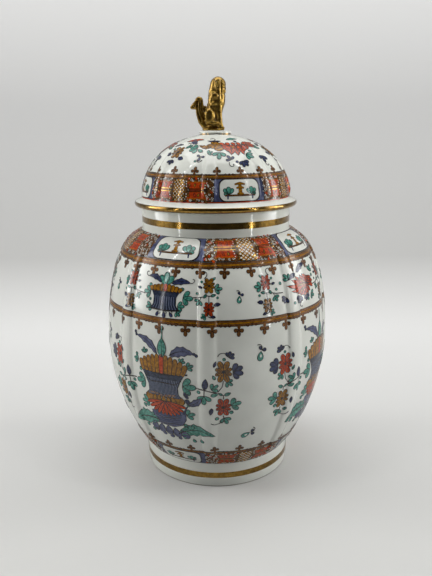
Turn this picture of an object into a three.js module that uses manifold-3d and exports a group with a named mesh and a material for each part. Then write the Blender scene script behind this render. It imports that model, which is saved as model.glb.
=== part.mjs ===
// A lidded porcelain vase: a ribbed ovoid body on a foot ring, with a plain neck, and a ribbed
// domed lid that carries a seated lion-dog as its knob. Sizes are in millimetres. +Z is up, -Y
// faces the viewer, and the origin is the centre of the foot's resting face.
// The potter forms eight pieces. Three are joined with slip into the vase and five into the lid,
// and a thin layer of slip lies between joined pieces. Only the lid as a whole comes off.

import * as THREE from "three";
import { mergeVertices } from "three/addons/utils/BufferGeometryUtils.js";
import Module from "manifold-3d";

// Slip and clearances
const slipLayer = 0.1;
const lidSeatGap = 0.3;
const collarClearance = 1.5;

// Foot ring
const footHeight = 18.5;
const footRestRadius = 55.4;
const footBellyRadius = 56.2;
const footJoinRadius = 55.5;
const footWall = 7;
const footEdge = 0.9;

// Body
const bodyHeight = 166;
const bodyRadius = 82;
const bodyRadiusHeight = 83.5;
const bodyWall = 5;
const bodyFloor = 7;
const bodyUndersideSag = 3;
const undersideBend = 28;
const floorRadius = 42;
const lowerHandleOut = 13;
const lowerHandleUp = 19.5;
const bellyHandleDown = 34;
const bellyHandleUp = 38;
const shoulderHandleOut = 20.6;
const shoulderHandleDown = 8.5;
const shoulderWall = 6;

// Ribs: eight raised round ribs with a gently swelling panel between each two
const ribCount = 8;
const ribTurn = -4.5;
const ribRoundness = 0.8;
const bodyPanelRise = 1;
const bodyRibHeight = 2;
const bodyRibHalfAngle = 4.6;
const bodyRibFade = 9;
const lidPanelRise = 0.7;
const lidRibHeight = 1.7;
const lidRibHalfAngle = 5.6;
const lidRibFade = 6;

// Neck
const neckRadius = 54.4;
const neckWall = 5.5;
const neckHeight = 16;
const neckEdge = 1.1;

// Lid rim, with a half-round edge that hangs over the neck
const rimRadius = 59.5;
const rimHeight = 6.3;
const rimEdge = 2.1;
const rimEdgeTurn = 55;
const rimHollow = 0.9;

// Lid collar, which drops inside the neck
const collarHeight = 10;
const collarWall = 3.5;
const collarChamfer = 1;

// Lid dome
const domeRadius = 54.1;
const domeHeight = 43.7;
const domeTopRadius = 10.8;
const domeWall = 5;
const domeHandleIn = 2.6;
const domeHandleUp = 20.9;
const domeTopHandleOut = 29.2;
const domeTopHandleDown = 5.8;

// Finial pad
const padRadius = 11.3;
const padHeight = 2.4;
const padEdge = 1.2;

// Finial: a seated lion-dog that faces +X, with a flame-shaped tail behind it. Lengths run along
// X, widths along Y, and places are measured forward from the vase's axis and up from the pad.
// A lean is a turn towards +X in degrees.
const figureHeight = 36.8;
const moundLength = 17.4;
const moundWidth = 14;
const moundHeight = 3.2;
const moundTaper = 0.94;
const backLength = 12.4;
const backWidth = 11.2;
const backHeight = 18.8;
const backForward = -3.2;
const backRise = 11.8;
const backLean = 12;
const chestLength = 10.4;
const chestWidth = 9.6;
const chestHeight = 20;
const chestForward = 0.6;
const chestRise = 12.4;
const chestLean = -6;
const maneLength = 12.4;
const maneWidth = 11.4;
const maneHeight = 15.6;
const maneForward = -0.5;
const maneRise = 22.2;
const headLength = 12.4;
const headWidth = 11.6;
const headHeight = 15.4;
const headForward = 0.5;
const muzzleLength = 6.6;
const muzzleWidth = 6.2;
const muzzleHeight = 5.8;
const muzzleReach = 7.4;
const muzzleRise = 27;
const earLength = 3.4;
const earWidth = 2.2;
const earHeight = 5;
const earSpread = 4.2;
const earRise = 32.6;
const earForward = -2;
const earLean = -20;
const haunchLength = 8.6;
const haunchWidth = 6.2;
const haunchHeight = 12.4;
const haunchSpread = 3.7;
const haunchForward = -4.6;
const haunchRise = 9.7;
const haunchLean = 10;
const hindPawLength = 7.2;
const hindPawWidth = 3.8;
const hindPawForward = -0.6;
const hindPawSpread = 4.4;
const hindPawRise = 4.5;
const legSpread = 2.9;
const legWidth = 4;
const legHeight = 16;
const legForward = 3.9;
const legStep = 0.6;
const pawLength = 5.4;
const pawHeight = 3.2;
const pawForward = 5.1;
const pawRise = 3.8;
const tailThickness = 4.4;
const tailBevel = 1.1;
const tailReach = 18.9;
const tailNeck = 15.1;
const tailBelly = 14.6;
const tailMiddle = 9.4;
const tailRoot = 7.4;
const tailFoot = 3.7;
const tailCrest = 24.6;
const tailCrestLength = 2.7;
const tailCrestBend = 2;
const tailTip = 17.6;
const tailTipUp = 0.6;
const tailTipDown = 2;
const tailTipDepth = 4;
const tailTipBend = 1.5;
const tailSwell = 8.8;
const tailWaist = 5.9;
const tailBottom = 2.6;

// How finely round shapes are cut
const plainColumns = 60;
const padColumns = 32;
const moundColumns = 24;
const curveSteps = 7;
const innerSteps = 4;
const edgeSteps = 4;
const padEdgeSteps = 2;
const ballColumns = 12;
const ballRows = 7;
const ribColumnShares = [0, 0.55, 0.9, 1];
const panelColumnShares = [0.5, 1];

// Heights and radii that follow from the sizes above
const bodyBottom = footHeight + slipLayer;
const bodyTop = footHeight + bodyHeight;
const neckBottom = bodyTop + slipLayer;
const neckTop = bodyTop + neckHeight;
const neckInnerRadius = neckRadius - neckWall;
const lidSeat = neckTop + lidSeatGap;
const rimTop = lidSeat + rimHeight;
const collarRadius = neckInnerRadius - collarClearance;
const collarInnerRadius = collarRadius - collarWall;
const domeBottom = rimTop + slipLayer;
const domeTop = rimTop + domeHeight;
const padBottom = domeTop + slipLayer;
const padTop = padBottom + padHeight;
const figureBottom = padTop + slipLayer;
const footInnerRadius = footJoinRadius - footWall;

const degrees = Math.PI / 180;

const porcelain = new THREE.MeshStandardMaterial({ color: "#eceeeb", roughness: 0.12 });
const paintedPorcelain = new THREE.MeshStandardMaterial({ color: "#dcd6cd", roughness: 0.14 });
const gilding = new THREE.MeshStandardMaterial({ color: "#b8923a", roughness: 0.22, metalness: 1 });

// A profile point: its radius and height, and how much of the ribs it takes.
function at(radius, height, ribbed = 0) {
  return { radius, height, ribbed };
}

// Points along a smooth curve from one end to the other, each end with its handle.
function curve(start, startHandle, endHandle, end, steps = curveSteps) {
  const bezier = new THREE.CubicBezierCurve(
    new THREE.Vector2(start[0], start[1]),
    new THREE.Vector2(start[0] + startHandle[0], start[1] + startHandle[1]),
    new THREE.Vector2(end[0] + endHandle[0], end[1] + endHandle[1]),
    new THREE.Vector2(end[0], end[1]),
  );
  return bezier.getPoints(steps).map((p) => at(p.x, p.y));
}

// Points along a round edge about a centre, between two angles from the outward direction.
function roundEdge(radius, height, size, from, to, steps = edgeSteps) {
  return Array.from({ length: steps + 1 }, (_, i) => {
    const turn = (from + ((to - from) * i) / steps) * degrees;
    return at(radius + size * Math.cos(turn), height + size * Math.sin(turn));
  });
}

// From 0 to 1 with a soft start and end.
function ease(x) {
  const t = Math.min(Math.max(x, 0), 1);
  return t * t * (3 - 2 * t);
}

// The ribs fade out near the two ends of a ribbed wall.
function withRibs(points, bottom, top, fade) {
  return points.map((p) =>
    at(p.radius, p.height, ease((p.height - bottom) / fade) * ease((top - p.height) / fade)),
  );
}

// Where the columns of a ribbed wall stand: close together across each rib, in degrees.
function ribbedColumns(halfAngle) {
  const pitch = 360 / ribCount;
  const panel = pitch / 2 - halfAngle;
  const steps = [
    ...ribColumnShares.map((share) => share * halfAngle),
    ...panelColumnShares.map((share) => halfAngle + share * panel),
  ];
  const mirrored = steps.slice(1, -1).reverse();
  const oneRib = [...steps, ...mirrored.map((step) => pitch - step)];
  const turns = Array.from({ length: ribCount }, (_, rib) => ribTurn + rib * pitch);
  return turns.flatMap((start) => oneRib.map((step) => start + step));
}

// How far a ribbed wall stands out or in, as a share of its radius, at a turn in degrees.
function ribShare(turn, rise, height, halfAngle, wholeRadius) {
  const pitch = 360 / ribCount;
  const off = (((turn - ribTurn) % pitch) + pitch) % pitch;
  const fromRib = Math.min(off, pitch - off);
  const across = 1 - fromRib / (pitch / 2);
  const swell = rise * (2 / 3 - across * across);
  const ontoRib = Math.min(fromRib / halfAngle, 1);
  return (swell + height * (1 - ontoRib * ontoRib) ** ribRoundness) / wholeRadius;
}

// Evenly spaced columns for a plain turned wall, in degrees.
function evenColumns(count) {
  return Array.from({ length: count }, (_, i) => (360 * i) / count);
}

// A body turned about +Z from its profile, which runs anticlockwise as seen with the axis on the
// left. Its columns are given in degrees, and share gives how far ribs move each of them.
function turned(profile, columns = evenColumns(plainColumns), share = () => 0) {
  const lathe = new THREE.LatheGeometry(
    profile.map((p) => new THREE.Vector2(p.radius, p.height)),
    columns.length,
  );
  const place = lathe.getAttribute("position");
  for (let column = 0; column <= columns.length; column++) {
    const turn = columns[column % columns.length];
    profile.forEach((p, row) => {
      const radius = p.radius * (1 + p.ribbed * share(turn));
      const across = radius * Math.sin(turn * degrees);
      const away = radius * Math.cos(turn * degrees);
      place.setXYZ(column * profile.length + row, across, p.height, away);
    });
  }
  lathe.rotateX(Math.PI / 2);
  return closed(lathe);
}

// The same shape with its shared corners merged, as one closed surface.
function closed(geometry) {
  const bare = geometry.clone();
  bare.deleteAttribute("normal");
  bare.deleteAttribute("uv");
  const merged = mergeVertices(bare, 1e-4);
  const corners = merged.index.array;
  const kept = [];
  for (let i = 0; i < corners.length; i += 3) {
    const [a, b, c] = [corners[i], corners[i + 1], corners[i + 2]];
    if (a !== b && b !== c && a !== c) kept.push(a, b, c);
  }
  merged.setIndex(kept);
  merged.computeVertexNormals();
  return merged;
}

const wasm = await Module();
wasm.setup();

// A closed geometry as a solid that can be joined and cut.
function solid(geometry) {
  const shape = closed(geometry);
  return new wasm.Manifold(
    new wasm.Mesh({
      numProp: 3,
      vertProperties: new Float32Array(shape.getAttribute("position").array),
      triVerts: new Uint32Array(shape.index.array),
    }),
  );
}

// A solid's surface as a geometry.
function surface(made) {
  const mesh = made.getMesh();
  const geometry = new THREE.BufferGeometry();
  geometry.setAttribute("position", new THREE.BufferAttribute(new Float32Array(mesh.vertProperties), 3));
  geometry.setIndex(new THREE.BufferAttribute(new Uint32Array(mesh.triVerts), 1));
  geometry.computeVertexNormals();
  return geometry;
}

// A rounded mass of the figure: its centre, its length, width and height, and its lean towards +X
// in degrees.
function mass(centre, size, lean = 0) {
  const ball = new THREE.SphereGeometry(0.5, ballColumns, ballRows);
  ball.rotateX(Math.PI / 2);
  ball.scale(...size);
  ball.rotateY(lean * degrees);
  ball.translate(...centre);
  return solid(ball);
}

// A round limb between two points.
function limb(top, foot, radius) {
  const from = new THREE.Vector3(...foot);
  const to = new THREE.Vector3(...top);
  const along = to.clone().sub(from);
  const rod = new THREE.CylinderGeometry(radius, radius, along.length(), ballColumns);
  const upright = new THREE.Vector3(0, 1, 0);
  rod.applyQuaternion(new THREE.Quaternion().setFromUnitVectors(upright, along.normalize()));
  rod.translate(...from.add(to).multiplyScalar(0.5));
  return solid(rod);
}

// The foot ring stands on a flat face and is open inside.
function footRing() {
  return turned([
    at(footInnerRadius, footHeight),
    at(footInnerRadius, footEdge),
    at(footInnerRadius + footEdge, 0),
    at(footRestRadius - footEdge, 0),
    at(footRestRadius, footEdge),
    at(footBellyRadius, footHeight / 2),
    at(footJoinRadius, footHeight),
    at(footInnerRadius, footHeight),
  ]);
}

// The body is a hollow ovoid with eight ribs, open at the shoulder where the neck stands.
function bodyShell() {
  const widest = footHeight + bodyRadiusHeight;
  const innerWidest = bodyRadius - bodyWall;
  const floorTop = bodyBottom + bodyFloor - bodyUndersideSag;
  const lower = curve(
    [footJoinRadius, bodyBottom],
    [lowerHandleOut, lowerHandleUp],
    [0, -bellyHandleDown],
    [bodyRadius, widest],
  );
  const upper = curve(
    [bodyRadius, widest],
    [0, bellyHandleUp],
    [shoulderHandleOut, -shoulderHandleDown],
    [neckRadius, bodyTop],
    curveSteps + 1,
  );
  const outside = withRibs([...lower, ...upper.slice(1)], bodyBottom, bodyTop, bodyRibFade);
  const innerUpper = curve(
    [neckInnerRadius, bodyTop - shoulderWall],
    [shoulderHandleOut, -shoulderHandleDown],
    [0, bellyHandleUp],
    [innerWidest, widest],
    innerSteps,
  );
  const innerLower = curve(
    [innerWidest, widest],
    [0, -bellyHandleDown],
    [shoulderHandleOut, shoulderHandleDown],
    [floorRadius, floorTop],
    innerSteps,
  );
  const underside = [
    at(0, bodyBottom - bodyUndersideSag),
    at(undersideBend, bodyBottom - bodyUndersideSag * (1 - (undersideBend / footInnerRadius) ** 2)),
    at(footInnerRadius, bodyBottom),
  ];
  const profile = [
    ...underside,
    ...outside,
    at(neckInnerRadius, bodyTop),
    ...innerUpper,
    ...innerLower.slice(1),
    at(0, floorTop),
  ];
  return turned(profile, ribbedColumns(bodyRibHalfAngle), (turn) =>
    ribShare(turn, bodyPanelRise, bodyRibHeight, bodyRibHalfAngle, bodyRadius),
  );
}

// The neck is a plain turned ring whose top face carries the lid.
function neckRing() {
  return turned([
    at(neckInnerRadius, neckBottom),
    at(neckRadius, neckBottom),
    at(neckRadius, neckTop - neckEdge),
    at(neckRadius - neckEdge, neckTop),
    at(neckInnerRadius + neckEdge, neckTop),
    at(neckInnerRadius, neckTop - neckEdge),
    at(neckInnerRadius, neckBottom),
  ]);
}

// The rim carries the dome, hangs over the neck and rests on it.
function lidRim() {
  const edgeCentre = rimRadius - rimEdge;
  return turned([
    at(collarInnerRadius, lidSeat),
    ...roundEdge(edgeCentre, lidSeat + rimEdge, rimEdge, -90, rimEdgeTurn),
    at((edgeCentre + domeRadius) / 2, rimTop - rimHollow),
    at(domeRadius, rimTop),
    at(collarInnerRadius, rimTop),
    at(collarInnerRadius, lidSeat),
  ]);
}

// The collar hangs inside the neck and keeps the lid in place.
function lidCollar() {
  const top = lidSeat - slipLayer;
  const bottom = lidSeat - collarHeight;
  return turned([
    at(collarInnerRadius, bottom),
    at(collarRadius - collarChamfer, bottom),
    at(collarRadius, bottom + collarChamfer),
    at(collarRadius, top),
    at(collarInnerRadius, top),
    at(collarInnerRadius, bottom),
  ]);
}

// The dome is a hollow cap with the same eight ribs and a flat top for the pad.
function lidDome() {
  const outer = curve(
    [domeRadius, domeBottom],
    [-domeHandleIn, domeHandleUp],
    [domeTopHandleOut, -domeTopHandleDown],
    [domeTopRadius, domeTop],
  );
  const inner = curve(
    [domeTopRadius, domeTop - domeWall],
    [domeTopHandleOut - domeWall, -domeTopHandleDown],
    [-domeHandleIn, domeHandleUp],
    [domeRadius - domeWall, domeBottom],
    innerSteps,
  );
  const profile = [
    ...withRibs(outer, domeBottom, domeTop, lidRibFade),
    at(0, domeTop),
    at(0, domeTop - domeWall),
    ...inner,
    at(domeRadius, domeBottom),
  ];
  return turned(profile, ribbedColumns(lidRibHalfAngle), (turn) =>
    ribShare(turn, lidPanelRise, lidRibHeight, lidRibHalfAngle, domeRadius),
  );
}

// The pad is a low disc between the dome and the figure.
function finialPad() {
  return turned([
    at(0, padBottom),
    at(padRadius, padBottom),
    ...roundEdge(padRadius - padEdge, padTop - padEdge, padEdge, 0, 90, padEdgeSteps),
    at(0, padTop),
  ], evenColumns(padColumns));
}

// The tail's outline, seen from the figure's right side: it rises from the rump, swells, and
// turns its tip outwards.
function tail() {
  const crestEnd = tailMiddle + tailCrestLength;
  const outline = new THREE.Shape();
  outline.moveTo(-tailRoot, tailTip);
  outline.bezierCurveTo(-tailRoot, tailCrest - tailCrestBend, -tailMiddle, tailCrest, -crestEnd, tailCrest);
  outline.bezierCurveTo(
    -tailNeck, tailCrest, -tailBelly, tailTip + tailTipBend, -tailReach, tailTip + tailTipUp,
  );
  outline.bezierCurveTo(
    -tailReach, tailTip - tailTipDown, -tailNeck, tailTip - tailTipBend, -tailBelly, tailTip - tailTipDepth,
  );
  outline.bezierCurveTo(-tailBelly, tailSwell, -tailBelly, tailWaist, -tailMiddle, tailBottom);
  outline.lineTo(-tailFoot, tailBottom);
  outline.closePath();
  const plate = new THREE.ExtrudeGeometry(outline, {
    depth: tailThickness - 2 * tailBevel,
    bevelThickness: tailBevel,
    bevelSize: tailBevel / 2,
    bevelOffset: -tailBevel / 2,
    bevelSegments: 1,
    curveSegments: edgeSteps,
  });
  plate.translate(0, 0, tailBevel - tailThickness / 2);
  plate.rotateX(Math.PI / 2);
  return solid(plate);
}

// The parts of one side of the figure: haunch, hind paw, foreleg, fore paw and ear.
function figureSide(side) {
  const haunch = [haunchForward, side * haunchSpread, haunchRise];
  const hindPaw = [hindPawForward, side * hindPawSpread, hindPawRise];
  const leg = side * legSpread;
  const shoulder = [legForward - legStep, leg, legHeight];
  const ankle = [legForward + legStep, leg, moundHeight / 2];
  const ear = [earForward, side * earSpread, earRise];
  return [
    mass(haunch, [haunchLength, haunchWidth, haunchHeight], haunchLean),
    mass(hindPaw, [hindPawLength, hindPawWidth, pawHeight]),
    limb(shoulder, ankle, legWidth / 2),
    mass([pawForward, leg, pawRise], [pawLength, legWidth, pawHeight]),
    mass(ear, [earLength, earWidth, earHeight], earLean),
  ];
}

// The lion-dog is pressed in one piece, so its masses are joined into one solid, flat below.
function finialFigure() {
  const mound = new THREE.CylinderGeometry(moundTaper, 1, moundHeight, moundColumns);
  mound.rotateX(Math.PI / 2);
  mound.scale(moundLength / 2, moundWidth / 2, 1);
  mound.translate(0, 0, moundHeight / 2);
  const masses = [
    solid(mound),
    tail(),
    mass([backForward, 0, backRise], [backLength, backWidth, backHeight], backLean),
    mass([chestForward, 0, chestRise], [chestLength, chestWidth, chestHeight], chestLean),
    mass([maneForward, 0, maneRise], [maneLength, maneWidth, maneHeight]),
    mass([headForward, 0, figureHeight - headHeight / 2], [headLength, headWidth, headHeight]),
    mass([muzzleReach - muzzleLength / 2, 0, muzzleRise], [muzzleLength, muzzleWidth, muzzleHeight]),
    ...figureSide(-1),
    ...figureSide(1),
  ];
  return surface(masses.reduce((whole, piece) => whole.add(piece)));
}

const vase = new THREE.Group();
const lid = new THREE.Group();
const finial = new THREE.Group();
finial.position.z = figureBottom;
lid.add(finial);

function add(group, name, geometry, material) {
  const mesh = new THREE.Mesh(geometry, material);
  mesh.name = name;
  group.add(mesh);
}

add(vase, "foot_ring", footRing(), porcelain);
add(vase, "body_shell", bodyShell(), paintedPorcelain);
add(vase, "neck_ring", neckRing(), porcelain);
add(lid, "lid_collar", lidCollar(), porcelain);
add(lid, "lid_rim", lidRim(), porcelain);
add(lid, "lid_dome", lidDome(), paintedPorcelain);
add(lid, "finial_pad", finialPad(), porcelain);
add(finial, "finial_figure", finialFigure(), gilding);

const liddedVase = new THREE.Group();
liddedVase.add(vase, lid);

export default liddedVase;
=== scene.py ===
# A lidded vase of white hard-paste porcelain: a ribbed ovoid body on a foot ring, a plain neck and
# a ribbed domed lid with a gilded lion-dog as its knob. Flower baskets, sprigs, borders and gold
# lines are painted over the glaze. Shapes are drawn in millimetres and finished in metres.
import math
import random
from collections import namedtuple

import bmesh
import bpy
import numpy as np
from mathutils import Matrix, Vector
from mathutils.geometry import interpolate_bezier


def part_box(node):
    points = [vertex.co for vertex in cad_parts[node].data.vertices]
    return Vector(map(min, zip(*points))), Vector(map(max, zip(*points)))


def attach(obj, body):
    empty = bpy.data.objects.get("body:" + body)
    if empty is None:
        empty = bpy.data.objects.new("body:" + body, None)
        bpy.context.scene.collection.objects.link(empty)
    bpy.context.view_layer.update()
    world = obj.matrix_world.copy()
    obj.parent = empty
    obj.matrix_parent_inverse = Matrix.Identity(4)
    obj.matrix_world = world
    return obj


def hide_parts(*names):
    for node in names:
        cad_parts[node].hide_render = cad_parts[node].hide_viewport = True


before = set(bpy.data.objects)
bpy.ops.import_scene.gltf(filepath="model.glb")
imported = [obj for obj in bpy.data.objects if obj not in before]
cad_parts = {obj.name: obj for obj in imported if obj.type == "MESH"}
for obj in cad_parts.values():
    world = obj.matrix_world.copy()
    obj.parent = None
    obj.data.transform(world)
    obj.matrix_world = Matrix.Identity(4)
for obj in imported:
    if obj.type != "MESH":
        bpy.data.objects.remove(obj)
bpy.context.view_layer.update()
mm = 0.001

# The view
# The camera stands in front of the vase, a little above its shoulder, and looks slightly down. It
# is rolled by a fraction of a degree, as a hand-held camera is.
camera_place = (-0.0002, -0.4462, 0.2509)
camera_lens = 37.5
camera_sensor = 36
look_down = 14.38
hand_roll = -0.4
camera_data = bpy.data.cameras.new("view_camera")
camera_data.sensor_width = camera_sensor
camera_data.lens = camera_lens
camera = bpy.data.objects.new("view_camera", camera_data)
bpy.context.scene.collection.objects.link(camera)
tilted = Matrix.Rotation(math.radians(90 - look_down), 4, "X")
rolled = Matrix.Rotation(math.radians(hand_roll), 4, "Z")
camera.matrix_world = Matrix.Translation(camera_place) @ tilted @ rolled
bpy.context.scene.camera = camera
bpy.context.scene.view_settings.view_transform = "Standard"


# The table and the wall behind it
# One pale sheet of matt card lies on the table and bends up into the wall behind. It shows the
# foot's soft shadow and throws little light back. For the camera alone it glows a little towards
# the back of the table and up the wall, which brings both to the photograph's brightness.
sweep_width = 4.0
sweep_front = -0.5
bend_start = 0.26
bend_radius = 0.3
sweep_top = 2.2
card_colour = "#d8d8d5"
card_bounce = "#9c9c9c"
wall_glow = 0.43
wall_foot = 0.0
wall_full = 0.5
table_glow = 0.28
table_near = -0.14
table_far = 0.3
table_fade = 0.07
crease_angle = 38


def linear(hex_colour):
    """An sRGB hex colour as linear red, green, blue and alpha."""
    shares = [int(hex_colour[place:place + 2], 16) / 255 for place in (1, 3, 5)]
    return [c / 12.92 if c <= 0.04045 else ((c + 0.055) / 1.055) ** 2.4 for c in shares] + [1.0]


def add_node(material, kind, inputs=(), **settings):
    """Adds a node with its settings. An input is a value, or a socket to link."""
    made = material.node_tree.nodes.new(kind)
    for name, value in settings.items():
        setattr(made, name, value)
    for name, value in dict(inputs).items():
        if isinstance(value, bpy.types.NodeSocket):
            material.node_tree.links.new(value, made.inputs[name])
        else:
            made.inputs[name].default_value = value
    return made


def finish(name, pale, deep, patch, roughness, ripple=0.0, ripple_size=4.0, metallic=0.0, coat=0.0):
    """A surface whose colour drifts between two tones over patches of a size in millimetres, with
    a ripple of a height and a size in millimetres that bends its reflections."""
    material = bpy.data.materials.new(name)
    material.use_nodes = True
    material.node_tree.nodes.clear()
    place = add_node(material, "ShaderNodeTexCoord").outputs["Object"]
    drift = add_node(
        material, "ShaderNodeTexNoise", {"Vector": place, "Scale": 1 / (patch * mm), "Detail": 3.0}
    )
    tones = add_node(material, "ShaderNodeValToRGB", {"Fac": drift.outputs["Fac"]})
    tones.color_ramp.elements[0].position = 0.35
    tones.color_ramp.elements[0].color = linear(deep)
    tones.color_ramp.elements[1].position = 0.65
    tones.color_ramp.elements[1].color = linear(pale)
    surface = add_node(
        material,
        "ShaderNodeBsdfPrincipled",
        {
            "Base Color": tones.outputs["Color"],
            "Roughness": roughness,
            "Metallic": metallic,
            "Coat Weight": coat,
            "Coat Roughness": 0.04,
        },
    )
    if ripple:
        waves = add_node(
            material,
            "ShaderNodeTexNoise",
            {"Vector": place, "Scale": 1 / (ripple_size * mm), "Detail": 1.0},
        )
        bump = add_node(
            material,
            "ShaderNodeBump",
            {"Height": waves.outputs["Fac"], "Distance": ripple * mm, "Strength": 1.0},
        )
        material.node_tree.links.new(bump.outputs["Normal"], surface.inputs["Normal"])
    add_node(material, "ShaderNodeOutputMaterial", {"Surface": surface.outputs["BSDF"]})
    return material


def finished(made, name, materials):
    """The object of a finished shape, in metres, smooth apart from its creases."""
    bmesh.ops.scale(made, vec=(mm, mm, mm), verts=made.verts)
    mesh = bpy.data.meshes.new(name)
    made.to_mesh(mesh)
    made.free()
    mesh.shade_smooth()
    mesh.set_sharp_from_angle(angle=math.radians(crease_angle))
    for material in materials:
        mesh.materials.append(material)
    piece = bpy.data.objects.new(name, mesh)
    bpy.context.scene.collection.objects.link(piece)
    return piece


sweep = bmesh.new()
bend = [
    (bend_start + bend_radius * math.sin(a), bend_radius * (1 - math.cos(a)))
    for a in np.linspace(0, math.pi / 2, 17)
]
line = [(sweep_front, 0), *bend, (bend_start + bend_radius, sweep_top)]
corners = [sweep.verts.new((-sweep_width / 2 / mm, y / mm, z / mm)) for y, z in line]
edges = [sweep.edges.new(pair) for pair in zip(corners, corners[1:])]
drawn = bmesh.ops.extrude_edge_only(sweep, edges=edges)["geom"]
bmesh.ops.translate(
    sweep, verts=[g for g in drawn if isinstance(g, bmesh.types.BMVert)], vec=(sweep_width / mm, 0, 0)
)
# Matt card is dull all over, with barely a sheen.
card = bpy.data.materials.new("matt_card")
card.use_nodes = True
card.node_tree.nodes.clear()
ray = add_node(card, "ShaderNodeLightPath").outputs
seen_card = add_node(
    card, "ShaderNodeMath", {0: ray["Is Camera Ray"], 1: ray["Is Glossy Ray"]}, operation="ADD"
)
card_tone = add_node(
    card,
    "ShaderNodeMix",
    {0: seen_card.outputs[0], 6: linear(card_bounce), 7: linear(card_colour)},
    data_type="RGBA",
)
card_place = add_node(card, "ShaderNodeTexCoord").outputs["Object"]
card_spot = add_node(card, "ShaderNodeSeparateXYZ", {"Vector": card_place}).outputs
shares = []
for axis, start, end, first, last in (
    ("Y", table_near, table_far, 0.0, table_glow),
    ("Z", 0.0, table_fade, 1.0, 0.0),
    ("Z", wall_foot, wall_full, 0.0, wall_glow),
):
    steps = {"From Min": start, "From Max": end, "To Min": first, "To Max": last}
    share = add_node(card, "ShaderNodeMapRange", {"Value": card_spot[axis], **steps})
    shares.append(share.outputs[0])
card_light = add_node(card, "ShaderNodeMath", dict(enumerate(shares)), operation="MULTIPLY_ADD")
glow = add_node(
    card, "ShaderNodeMath", {0: ray["Is Camera Ray"], 1: card_light.outputs[0]}, operation="MULTIPLY"
)
card_face = add_node(
    card,
    "ShaderNodeBsdfPrincipled",
    {
        "Base Color": card_tone.outputs[2],
        "Roughness": 0.8,
        "Specular IOR Level": 0.2,
        "Emission Color": linear("#ffffff"),
        "Emission Strength": glow.outputs[0],
    },
)
add_node(card, "ShaderNodeOutputMaterial", {"Surface": card_face.outputs["BSDF"]})
sheet = finished(sweep, "table_and_wall", [card])


# The lamps
# Narrow soft boxes stand at the left and the right in front, and two more carry on above them.
# They draw the long streaks on the glaze. A broad one hangs over the vase. The room is bright at
# the left and the right, and dim behind the camera, where it gives the gold its brown depths.
room_far_share = 0.8
room_dim_until = 0.64
room_bright_from = 1.15
room_dim = 0.05
room_bright = 6.4
room_seen = "#cfcfce"


def soft_box(name, place, width, height, watts, aim=(0, 0, 0.15)):
    """A rectangular area lamp that faces a point of the vase."""
    lamp = bpy.data.lights.new(name, "AREA")
    lamp.shape = "RECTANGLE"
    lamp.size = width
    lamp.size_y = height
    lamp.energy = watts
    stand = bpy.data.objects.new(name, lamp)
    bpy.context.scene.collection.objects.link(stand)
    facing = (Vector(aim) - Vector(place)).to_track_quat("-Z", "Y")
    stand.matrix_world = Matrix.Translation(place) @ facing.to_matrix().to_4x4()


soft_box("left_box", (-0.83, -0.58, 0.45), 0.012, 0.9, 0.9, aim=(0, 0, 0.45))
soft_box("right_box", (0.83, -0.6, 0.45), 0.024, 0.9, 1.2, aim=(0, 0, 0.45))
soft_box("left_high_box", (-0.84, -0.42, 1.3), 0.018, 0.87, 1.5)
soft_box("right_high_box", (0.84, -0.42, 1.3), 0.022, 0.87, 1.7)
soft_box("top_box", (0, 0.1, 1.5), 1.4, 1.0, 12.2)
room = bpy.data.worlds.new("room")
room.use_nodes = True
room.node_tree.nodes.clear()
look = add_node(room, "ShaderNodeTexCoord").outputs["Generated"]
way = add_node(room, "ShaderNodeSeparateXYZ", {"Vector": look}).outputs
sideways = add_node(room, "ShaderNodeMath", {0: way["X"]}, operation="ABSOLUTE")
beside = add_node(
    room,
    "ShaderNodeMath",
    {0: way["Y"], 1: room_far_share, 2: sideways.outputs[0]},
    operation="MULTIPLY_ADD",
)
brightness = add_node(
    room,
    "ShaderNodeMapRange",
    {
        "Value": beside.outputs[0],
        "From Min": room_dim_until,
        "From Max": room_bright_from,
        "To Min": room_dim,
        "To Max": room_bright,
    },
    interpolation_type="SMOOTHSTEP",
)
strength = brightness.outputs["Result"]
light = add_node(room, "ShaderNodeBackground", {"Color": linear("#ffffff"), "Strength": strength})
seen = add_node(room, "ShaderNodeBackground", {"Color": linear(room_seen), "Strength": 1.0})
camera_ray = add_node(room, "ShaderNodeLightPath").outputs["Is Camera Ray"]
both = add_node(room, "ShaderNodeMixShader", {"Fac": camera_ray})
room.node_tree.links.new(light.outputs["Background"], both.inputs[1])
room.node_tree.links.new(seen.outputs["Background"], both.inputs[2])
add_node(room, "ShaderNodeOutputWorld", {"Surface": both.outputs["Shader"]})
bpy.context.scene.world = room


# Foot ring
# The ring that the vase stands on, turned from the same porcelain and joined to the body with
# slip. The glaze is wiped off its resting face, which is left as bare matt biscuit. It is darkened
# with painted shade, the contact shadow on the table.
foot_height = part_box("foot_ring")[1].z / mm
foot_rest_radius = 55.4
foot_join_radius = 55.5
foot_wall = 7
foot_edge = 0.9
wiped_and_shaded_height = 0.8

# The fired glaze is clear and glossy over cool white clay, and its faint waves, some 7 mm wide,
# bend what it mirrors. Bare biscuit is dull, browner and sandy. Part of its dark tone is painted
# shade, the contact shadow where the foot meets the table. Its grain, really under 0.1 mm, is
# drawn coarser so that it shows.
glaze = finish("glazed_porcelain", "#f0f2e9", "#eaece3", 18, 0.07, ripple=0.012, ripple_size=7)
biscuit_and_contact_shade = finish("biscuit_porcelain_and_painted_shade", "#a59c8c", "#8b8272", 2, 0.6, ripple=0.02, ripple_size=0.6)


def arc(radius, height, size, start, end, steps=8):
    """Points of a round edge about a centre, between two angles from the outward direction."""
    angles = np.radians(np.linspace(start, end, steps + 1))
    return [(radius + size * math.cos(a), height + size * math.sin(a)) for a in angles]


def bend_line(start, start_handle, end_handle, end, steps=48):
    """Points of a smooth line between two ends, each end with its handle."""
    first, last = Vector(start).to_3d(), Vector(end).to_3d()
    handles = first + Vector(start_handle).to_3d(), last + Vector(end_handle).to_3d()
    return [(p.x, p.y) for p in interpolate_bezier(first, *handles, last, steps + 1)]


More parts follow.
